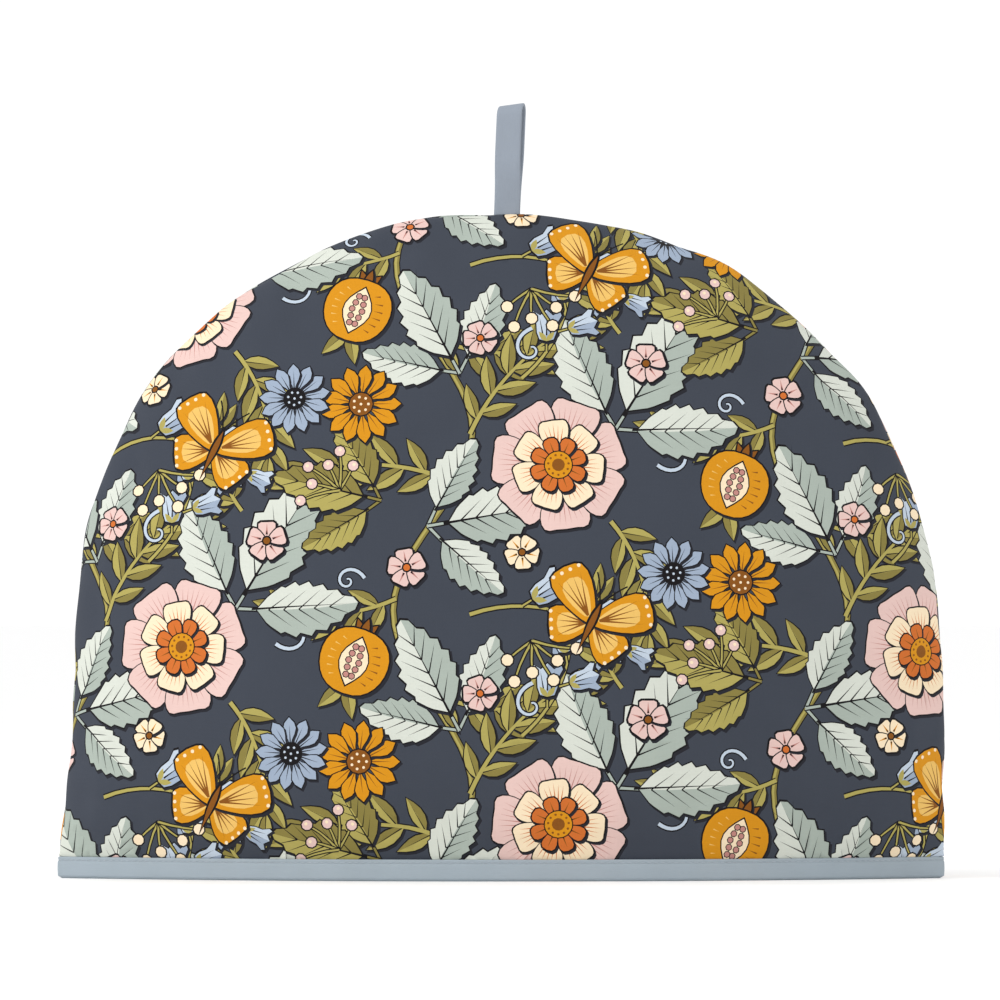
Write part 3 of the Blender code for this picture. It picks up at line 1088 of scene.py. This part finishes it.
def rim_of(flat):
    """The grid's own edge, once round against the clock, as corner numbers."""
    corner = np.arange(flat.size).reshape(flat.shape)
    return np.concatenate([corner[0], corner[1:, -1], corner[-1, -2::-1], corner[-2:0:-1, 0]])


def seam_lines():
    """Lines in the front view that run along the seam, close together where the cloth turns in."""
    angle = np.linspace(SEAM_LINE_START, np.pi - SEAM_LINE_START, SEAM_LINE_STEPS)
    turn = np.exp(1j * angle)
    edge = seam_reach(NEAR_SEAM * turn) * turn
    edge = seam_reach(edge) * turn
    return [edge * (1 - inset / np.abs(edge)) for inset in SEAM_LINES]


def cut_out(rim, loose, lines, shapes):
    """Triangles inside the rim: (places, triangles, number of the top shape or 0)."""
    coords = [rim, loose]
    faces = [list(range(len(rim)))]
    edges = []
    count = len(rim) + len(loose)
    for line in lines:
        edges += [(i, i + 1) for i in range(count, count + len(line) - 1)]
        count += len(line)
    for outline, _ in shapes:
        faces.append(list(range(count, count + len(outline))))
        count += len(outline)
    coords = 1000 * np.concatenate(coords + lines + [outline for outline, _ in shapes])
    made = delaunay_2d_cdt([(p.real, p.imag) for p in coords], edges, faces, 1, CUT_TOLERANCE)
    triangles, owners = [], []
    for triangle, inside in zip(made[2], made[5]):
        if 0 in inside:
            triangles.append(triangle)
            owners.append(max(inside))
    kept, numbers = np.unique(np.array(triangles), return_inverse=True)
    corners = np.array([complex(*made[0][i]) for i in kept]) / 1000
    return corners, numbers.reshape(-1, 3), np.array(owners)


def borders(places, triangles, inks):
    """The sides of a flat cut's triangles where the ink changes, each a line of its own."""
    sides = np.sort(np.concatenate([triangles[:, [i, (i + 1) % 3]] for i in range(3)]), 1)
    order = np.lexsort(sides.T)
    sides, inks = sides[order], np.tile(inks, 3)[order]
    shared = (sides[1:] == sides[:-1]).all(1)
    return list(places[sides[1:][shared & (inks[1:] != inks[:-1])]])


def ink_under(places, triangles, inks, spots):
    """The ink that a flat cut has at each spot."""
    find = search_tree(places, triangles).find_nearest
    return inks[[find((spot.real, spot.imag, 0))[2] for spot in spots]]


def edge_loop(triangles):
    """The corners along a flat mesh's edge, in order, with the mesh on the left."""
    sides = set()
    for a, b, c in triangles.tolist():
        for side in ((a, b), (b, c), (c, a)):
            if side[::-1] in sides:
                sides.remove(side[::-1])
            else:
                sides.add(side)
    after = dict(sides)
    loop = [min(after)]
    while after[loop[-1]] != loop[0]:
        loop.append(after[loop[-1]])
    return np.array(loop)


print(len(SEAM_LINES), "lines along the seam")


# %% Build a panel
def carried(weighed, loop, grid, surface, piece, facing):
    """Places of the flat cut on one face of the padded panel. loop holds the edge's corners."""
    view = weighed_mean(weighed, grid)
    on_seam = np.zeros(len(view), bool)
    on_seam[loop] = True
    on_seam &= view.imag > HEM_BOTTOM + 1e-5
    return in_space(*surface(view, piece, on_seam), facing)


def buckled(weighed, shift):
    """How far the settling moves places of the flat cut. It fades towards what is sewn."""
    numbers = np.indices(outer_grid.shape)
    row, column = (weighed_mean(weighed, number) / EVERY for number in numbers)
    view = weighed_mean(weighed, outer_grid)
    from_seam = np.clip(seam_reach(view) - np.abs(view), 0, None)
    free = ease(from_seam, *FREE_FROM_SEAM)
    free = free * ease(view.imag, BINDING_HEIGHT, BINDING_HEIGHT + FREE_ABOVE_TAPE)
    return free[:, None] * softly(shift, row, column)


def make_panel(name, piece, facing, material, cloth):
    """One padded half-moon: the printed outside, the plain inside and the seam edge between."""
    drawn = in_space(*outer_cloth(outer_grid, piece, rim_mask(outer_grid)), facing)
    flat = laid_flat(outer_grid, piece)
    draping = Draping(outer_grid, flat)
    rim = flat.ravel()[rim_of(flat)]
    shapes = [(outline / 1000, ink) for outline, ink in cloth.shapes]
    if facing > 0:
        shapes = [(-outline[::-1].conj(), ink) for outline, ink in shapes]
    shapes = [shape for shape in shapes if reaches(shape[0], flat)]
    loose = flat[seam_reach(outer_grid) - np.abs(outer_grid) > SEAM_LINES[-1] + PAST_SEAM_LINES]
    lines = [weighed_mean(draping.weigh(line, "view"), flat) for line in seam_lines()]
    names = list(INKS)
    palette = np.array([linear(*INKS[ink]) for ink in names])
    shape_ink = np.array([names.index("ground")] + [names.index(ink) for _, ink in shapes])
    drawing, parts, owners = cut_out(rim, loose[:0], [], shapes)
    printed = (drawing, parts, shape_ink[owners])
    places, outside, _ = cut_out(rim, loose, lines + borders(*printed), [])
    outside_ink = ink_under(*printed, places[outside].mean(1))
    loop = edge_loop(outside)
    coarse = flat[COARSE:-COARSE:COARSE, COARSE:-COARSE:COARSE].ravel()
    lining_places, inside, _ = cut_out(places[loop], coarse, [], [])
    lining_loop = edge_loop(inside)
    weighed, lining_weighed = (draping.weigh(cut, "flat") for cut in (places, lining_places))
    face = carried(weighed, loop, outer_grid, outer_cloth, piece, facing)
    face = face + buckled(weighed, settled(drawn, facing))
    lining = carried(lining_weighed, lining_loop, inner_grid, inner_cloth, piece, facing)
    points = np.concatenate([face, lining])
    first = len(places)
    start = np.argmin(np.abs(lining_places[lining_loop] - places[loop[0]]))
    lining_loop = np.roll(lining_loop, -start) + first
    before = (np.roll(loop, 1), np.roll(lining_loop, 1))
    walls = np.stack([*before, lining_loop, loop], -1).tolist()
    faces = outside.tolist() + (inside[:, ::-1] + first).tolist() + walls
    if facing > 0:
        faces = [face[::-1] for face in faces]
    mesh = new_mesh(name, points, faces)
    ink = np.full(len(faces), names.index("inside"))
    ink[: len(outside)] = outside_ink
    # The seam edge between the two faces takes the dark shadow ink, as painted shade in the seam.
    ink[-len(walls) :] = names.index("shadow")
    per_corner = np.repeat(palette[ink], [len(face) for face in faces], axis=0)
    layer = mesh.color_attributes.new("print", "FLOAT_COLOR", "CORNER")
    layer.data.foreach_set("color", per_corner.ravel())
    cut = np.concatenate([places, lining_places])
    corners = np.concatenate([np.array(face) for face in faces])
    uv = mesh.uv_layers.new(name="flat_cut")
    uv.uv.foreach_set("vector", np.stack([cut[corners].real, cut[corners].imag], -1).ravel())
    mesh.validate()
    mesh.shade_smooth()
    mesh.materials.append(material)
    print(name, len(shapes), "shapes,", len(mesh.vertices), "corners,", len(mesh.polygons), "faces")
    return in_scene(name, mesh)


def reaches(outline, flat):
    """Whether a shape comes near the panel's flat cut."""
    edge = flat.ravel()[rim_of(flat)]
    edge, away = edge - PANEL_HEART, outline - PANEL_HEART
    limit = np.interp(np.angle(away), np.angle(edge), np.abs(edge), period=2 * np.pi)
    return bool((np.abs(away) < limit + PRINT_MARGIN).any())

# %% [markdown]
# ## Cotton
#
# Close up, the cloth is a plain weave, and every thread is a little thicker or thinner than the
# next. The weave follows the flat cut, so it runs true over the padding. The same recipe serves
# the printed cotton and the plain tape, at their own thread widths.


# %% The weave
PRINT_PITCH, TAPE_PITCH, ROUNDNESS = 0.00052, 0.00045, 0.6
SLUB_SCALE = (260.0, 2600.0, 1.0)


def weave(recipe, places, pitch):
    """(height of the threads, slubs): a plain weave on a flat map in metres."""
    across, along = (
        recipe.add("SeparateXYZ", inputs={"Vector": places}, output=axis) * (math.pi / pitch)
        for axis in "XY"
    )
    over = across.sine() * along.sine()
    warp = (across.sine().size() ** ROUNDNESS) * (0.5 + 0.5 * over)
    weft = (along.sine().size() ** ROUNDNESS) * (0.5 - 0.5 * over)
    stretch = recipe.add("Mapping", inputs={"Vector": places, "Scale": SLUB_SCALE})
    slubs = recipe.noise(stretch, 1.0, 1.0)
    return warp + weft, slubs


def cotton(recipe, colour, pitch, wear_and_shade_scale, shades, bump, roughness):
    """Finishes a cotton: the threads, their slubs and the wear vary its colour and its face, and
    painted shade darkens it between the threads and in soft patches.
    """
    places = recipe.add("UVMap", {"uv_map": "flat_cut"})
    height, slubs = weave(recipe, places, pitch)
    wear_and_shade = recipe.noise(places, wear_and_shade_scale, 3.0)
    plain, painted_shade_by_height, by_slubs, by_wear_and_shade = shades
    # Painted shade: the colour darkens where the threads dip, and the cloudy noise darkens it in
    # soft patches, partly as wear and partly as painted shade.
    shade = plain + painted_shade_by_height * height + by_slubs * slubs + by_wear_and_shade * wear_and_shade
    value = recipe.add("CombineColor", inputs={"Red": shade, "Green": shade, "Blue": shade})
    uneven, distance, strength = bump
    return recipe.finish(
        Base_Color=recipe.mix("MULTIPLY", colour, value, 1.0),
        Roughness=roughness[0] + roughness[1] * slubs,
        Normal=recipe.bump(height + uneven * slubs, distance, strength),
        Sheen_Weight=0.05,
        Sheen_Roughness=0.5,
        Specular_IOR_Level=0.20,
    )


def tape_cotton(name, colour):
    """The plain blue-grey tape."""
    shades, bump = (0.84, 0.10, 0.08, 0.12), (0.6, 0.00010, 0.5)
    return cotton(Recipe(name), colour, TAPE_PITCH, 60.0, shades, bump, (0.78, 0.12))


printed = Recipe("printed_cotton")
panel_cotton = cotton(
    printed,
    printed.add("Attribute", {"attribute_name": "print"}),
    pitch=PRINT_PITCH,
    wear_and_shade_scale=42.0,
    shades=(0.83, 0.10, 0.07, 0.16),
    bump=(0.5, 0.00011, 0.55),
    roughness=(0.80, 0.10),
)
tape = tape_cotton("tape_cotton", linear(153, 164, 172))

# %% [markdown]
# ## Print the cloth and make the panels
#
# Both panels are cut from the same cloth. The back lies further along it, so the print doesn't
# match at the seam.

# %% The two panels
front_cloth, back_cloth = Cloth(), Cloth()
print_repeat(front_cloth, repeats(0j))
print_repeat(back_cloth, repeats(0.7 * REPEAT[0] + 0.05j * REPEAT[1]))
front = make_panel("cosy_front", "front", -1, panel_cotton, front_cloth)
back = make_panel("cosy_back", "back", 1, panel_cotton, back_cloth)
for panel, node in ((front, "front_panel"), (back, "back_panel")):
    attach(panel, "root")
    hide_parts(node)

# %% [markdown]
# ## The binding
#
# A tape folded round the raw hem, outside and inside, sewn through with one line of stitches near
# its upper fold. It is a single U-shaped section carried round the lens of the hem. Its upper
# folds are rounded, and a shallow groove shows where the thread pulls the tape in.

# %% Sizes of the binding
BINDING_WIDTH = 2 * OUTER_INSET + HEM_THICKNESS
BINDING_STATIONS = 460
CORNER_SOFTNESS = 0.012
STITCH_HEIGHT = BINDING_HEIGHT - 0.0013
GROOVE_DEPTH, GROOVE_SPREAD = 0.00026, 0.00034
BASE_BEVEL, BELLY = 0.0009, 0.00012
STITCH_PITCH, STITCH_LENGTH, THREAD_RADIUS = 0.0026, 0.0019, 0.00017


def binding_section():
    """(inset, height) round the tape: up the outside, down into the channel, up and down again."""
    steps = np.linspace(0, np.pi, 7)
    fold = TAPE / 2
    rise = np.linspace(BASE_BEVEL, BINDING_HEIGHT - fold, 16)
    groove = GROOVE_DEPTH * np.exp(-(((rise - STITCH_HEIGHT) / GROOVE_SPREAD) ** 2))
    belly = -BELLY * np.sin(np.pi * rise / BINDING_HEIGHT)
    outside = groove + belly + 1j * rise
    over = fold - fold * np.cos(steps) + 1j * (BINDING_HEIGHT - fold + fold * np.sin(steps))
    half = np.concatenate([outside, over[1:], [TAPE + 1j * TAPE]])
    other = BINDING_WIDTH - half.conj()[::-1]
    return np.concatenate([half, other, [BINDING_WIDTH - BASE_BEVEL, BASE_BEVEL]])


def hem_place(turn, inset):
    """A place on the lens of the hem, drawn in by an inset. turn is in radians from the right."""
    share = np.cos(turn)
    lens = 1 - np.abs(share) ** LENS_POWER
    lens = np.sqrt(lens**2 + 2 * CORNER_SOFTNESS * lens * np.exp(-lens / CORNER_SOFTNESS))
    facing = np.where(np.sin(turn) < 0, -1, 1)
    across = share * (HALF_WIDTH - SIDE_STRETCH * inset)
    return across, facing * (HALF_DEPTH - inset) * lens


# %% Build a tube from a section
def running_length(points):
    """The distance along a line of points, from its start."""
    return np.concatenate([[0], np.cumsum(np.linalg.norm(np.diff(points, axis=0), axis=1))])


def loft(name, rings, material, endless):
    """A closed tube through rings of points, with its flat cut as a UV map in metres."""
    stations, corners = rings.shape[:2]
    number = np.arange(stations * corners).reshape(stations, corners)
    number = np.concatenate([number, number[:, :1]], 1)
    track, profile = rings[:, 0], np.concatenate([rings[0], rings[0, :1]])
    if endless:
        number = np.concatenate([number, number[:1]])
        track = np.concatenate([track, track[:1]])
    cut = np.stack(np.meshgrid(running_length(track), running_length(profile), indexing="ij"), -1)
    faces = quads(number).reshape(-1, 4).tolist()
    places = quads(cut).reshape(-1, 2)
    if not endless:
        faces += [number[0, :-1].tolist(), number[-1, :-1].tolist()]
        places = np.concatenate([places, cut[0, :-1], cut[-1, :-1]])
    mesh = new_mesh(name, rings, faces)
    mesh.uv_layers.new(name="flat_cut").uv.foreach_set("vector", places.ravel())
    turned = bmesh.new()
    turned.from_mesh(mesh)
    bmesh.ops.recalc_face_normals(turned, faces=turned.faces)
    turned.to_mesh(mesh)
    turned.free()
    mesh.shade_smooth()
    mesh.materials.append(material)
    print(name, len(mesh.vertices), "corners,", len(mesh.polygons), "faces")
    return in_scene(name, mesh)


# %% The binding
turns = np.linspace(0, 2 * np.pi, BINDING_STATIONS, endpoint=False)
section = binding_section()
across, depth = hem_place(turns[:, None], section.real)
height = np.broadcast_to(section.imag, across.shape)
bound_hem = loft("bound_hem", np.stack([across, depth, height], -1), tape, True)

# %% [markdown]
# ### Stitches
#
# One line of machine stitches holds the tape. A stitch is one small shape that repeats along a
# path, so Geometry Nodes lay it: the path is cut into equal steps, and each step gets a short
# thread turned along it.


# %% Lay stitches with Geometry Nodes
def stitch_tree():
    """A node tree that lays short threads along the mesh edges it is given."""
    tree = bpy.data.node_groups.new("lay stitches", "GeometryNodeTree")
    face = tree.interface
    face.new_socket("Path", in_out="INPUT", socket_type="NodeSocketGeometry")
    for name in ("Pitch", "Length", "Radius"):
        face.new_socket(name, in_out="INPUT", socket_type="NodeSocketFloat")
    face.new_socket("Thread", in_out="INPUT", socket_type="NodeSocketMaterial")
    face.new_socket("Stitches", in_out="OUTPUT", socket_type="NodeSocketGeometry")
    nodes = tree.nodes
    given, result = nodes.new("NodeGroupInput"), nodes.new("NodeGroupOutput")
    curve = nodes.new("GeometryNodeMeshToCurve")
    points = nodes.new("GeometryNodeCurveToPoints")
    points.mode = "LENGTH"
    thread = nodes.new("GeometryNodeMeshUVSphere")
    thread.inputs["Segments"].default_value = 6
    thread.inputs["Rings"].default_value = 6
    size = nodes.new("ShaderNodeCombineXYZ")
    lay = nodes.new("GeometryNodeInstanceOnPoints")
    real = nodes.new("GeometryNodeRealizeInstances")
    coat = nodes.new("GeometryNodeSetMaterial")
    for source, output, target, entry in (
        (given, "Path", curve, "Mesh"),
        (curve, "Curve", points, "Curve"),
        (given, "Pitch", points, "Length"),
        (points, "Points", lay, "Points"),
        (points, "Rotation", lay, "Rotation"),
        (thread, "Mesh", lay, "Instance"),
        (given, "Radius", size, "X"),
        (given, "Radius", size, "Y"),
        (given, "Length", size, "Z"),
        (size, "Vector", lay, "Scale"),
        (lay, "Instances", real, "Geometry"),
        (real, "Geometry", coat, "Geometry"),
        (given, "Thread", coat, "Material"),
        (coat, "Geometry", result, "Stitches"),
    ):
        tree.links.new(source.outputs[output], target.inputs[entry])
    return tree


STITCH_TREE = stitch_tree()


def lay_stitches(name, paths, pitch, length, radius, thread):
    """Stitches along paths of points, as a plain mesh."""
    counts = np.cumsum([0] + [len(path) for path in paths])
    edges = [(i, i + 1) for a, b in zip(counts, counts[1:]) for i in range(a, b - 1)]
    path_mesh = new_mesh(name + " path", np.concatenate(paths), [], edges)
    line = in_scene(name + " path", path_mesh)
    modifier = line.modifiers.new("stitches", "NODES")
    modifier.node_group = STITCH_TREE
    settings = {"Pitch": pitch, "Length": length / 2, "Radius": radius, "Thread": thread}
    for item in STITCH_TREE.interface.items_tree:
        if item.name in settings:
            modifier[item.identifier] = settings[item.name]
    evaluated = line.evaluated_get(bpy.context.evaluated_depsgraph_get())
    made = in_scene(name, bpy.data.meshes.new_from_object(evaluated))
    made.data.shade_smooth()
    bpy.data.objects.remove(line)
    print(name, len(made.data.polygons), "faces")
    return made


def thread_cotton(name, colour):
    """Sewing thread, twisted and a little shiny."""
    recipe = Recipe(name)
    place = recipe.add("TexCoord", output="Object")
    twist = recipe.noise(place, 2600.0, 1.0)
    return recipe.finish(
        Base_Color=recipe.mix("MIX", colour, linear(255, 255, 255), 0.22 * twist),
        Roughness=0.55 + 0.2 * twist,
        Normal=recipe.bump(twist, 0.00005, 0.5),
        Specular_IOR_Level=0.4,
    )


hem_thread = thread_cotton("hem_thread", linear(151, 162, 171))
stitch_lines = []
for inset in (0.0, BINDING_WIDTH):
    line_across, line_depth = hem_place(np.append(turns, 0), inset)
    stitch_lines.append(np.stack([line_across, line_depth, 0 * line_across + STITCH_HEIGHT], -1))
hem_stitches = lay_stitches(
    "hem_stitches", stitch_lines, STITCH_PITCH, STITCH_LENGTH, THREAD_RADIUS, hem_thread
)

# %% [markdown]
# ## The hanging loop
#
# A narrow tape doubled over, its two ends caught in the seam. Its legs lie together at the seam,
# part a little and meet again in a round bend. It leans and turns, as cloth does that stands by
# its own stiffness.

# %% The loop's path and section
LOOP_ACROSS, LOOP_WIDTH, LOOP_THICKNESS = 0.0023, 0.0100, 0.0012
LOOP_HEIGHT, LOOP_ROOT, LOOP_HALF_GAP, LOOP_OPENS_OVER = 0.0418, 0.0062, 0.0028, 0.0220
LOOP_LEAN, LOOP_TWIST, LOOP_TOP_SLANT, LOOP_LEG_SHARE = 0.0018, -12, 0.13, 0.40
LOOP_STATIONS = 150
SEAM_TOP = 0.2550


def loop_path(share):
    """(depth, height) of the loop's middle line, from the foot of one leg to the other."""
    foot = SEAM_TOP - LOOP_ROOT
    shut = SEAM_HALF_GAP + LOOP_THICKNESS / 2
    opened = LOOP_HALF_GAP + LOOP_THICKNESS / 2
    bend_height = SEAM_TOP + LOOP_HEIGHT - opened - LOOP_THICKNESS / 2
    near = np.minimum(share, 1 - share)
    side = np.where(share < 0.5, -1, 1)
    rise = foot + (bend_height - foot) * near / LOOP_LEG_SHARE
    parted = ease(rise, SEAM_TOP + TAPE, SEAM_TOP + LOOP_OPENS_OVER)
    turn = np.pi * (share - LOOP_LEG_SHARE) / (1 - 2 * LOOP_LEG_SHARE)
    leg = near < LOOP_LEG_SHARE
    depth = np.where(leg, side * (shut + (opened - shut) * parted), -opened * np.cos(turn))
    return depth, np.where(leg, rise, bend_height + opened * np.sin(turn))


def tape_section(width, thickness):
    """(across, outward) round a flat tape whose edges are rounded."""
    turn = np.linspace(-np.pi / 2, np.pi / 2, 7)
    edge = (width - thickness) / 2 + thickness / 2 * np.exp(1j * turn)
    face = np.linspace(-1, 1, 9)[1:-1] * (width - thickness) / 2
    top = -face + 0.5j * thickness
    return np.concatenate([edge, top, -edge, face - 0.5j * thickness])


share = np.linspace(0, 1, LOOP_STATIONS)
depth, height = loop_path(share)
run = np.gradient(depth) + 1j * np.gradient(height)
outward = 1j * run / np.abs(run)
tape_edge = tape_section(LOOP_WIDTH, LOOP_THICKNESS)
across = np.broadcast_to(tape_edge.real, (LOOP_STATIONS, len(tape_edge)))
depth = depth[:, None] + tape_edge.imag * outward.real[:, None]
height = height[:, None] + tape_edge.imag * outward.imag[:, None]
raised = np.clip(height - SEAM_TOP, 0, None) / LOOP_HEIGHT
turn = np.radians(LOOP_TWIST) * ease(raised, 0, 0.6)
height = height + LOOP_TOP_SLANT * across * raised
turned_across = across * np.cos(turn) - depth * np.sin(turn)
turned_depth = across * np.sin(turn) + depth * np.cos(turn)
rings = np.stack([LOOP_ACROSS + LOOP_LEAN * raised + turned_across, turned_depth, height], -1)
loop_cotton = tape_cotton("loop_cotton", linear(139, 147, 158))
loop_tape = loft("loop_tape", rings, loop_cotton, False)

# %% [markdown]
# ## Onto the one body
#
# Both tapes are folded from flat strips of known size. Everything rides on the one body, and the
# plain parts of the model that the tapes replace are hidden.

for piece, node in ((bound_hem, "hem_binding"), (hem_stitches, None), (loop_tape, "hanging_loop")):
    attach(piece, "root")
    if node:
        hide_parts(node)
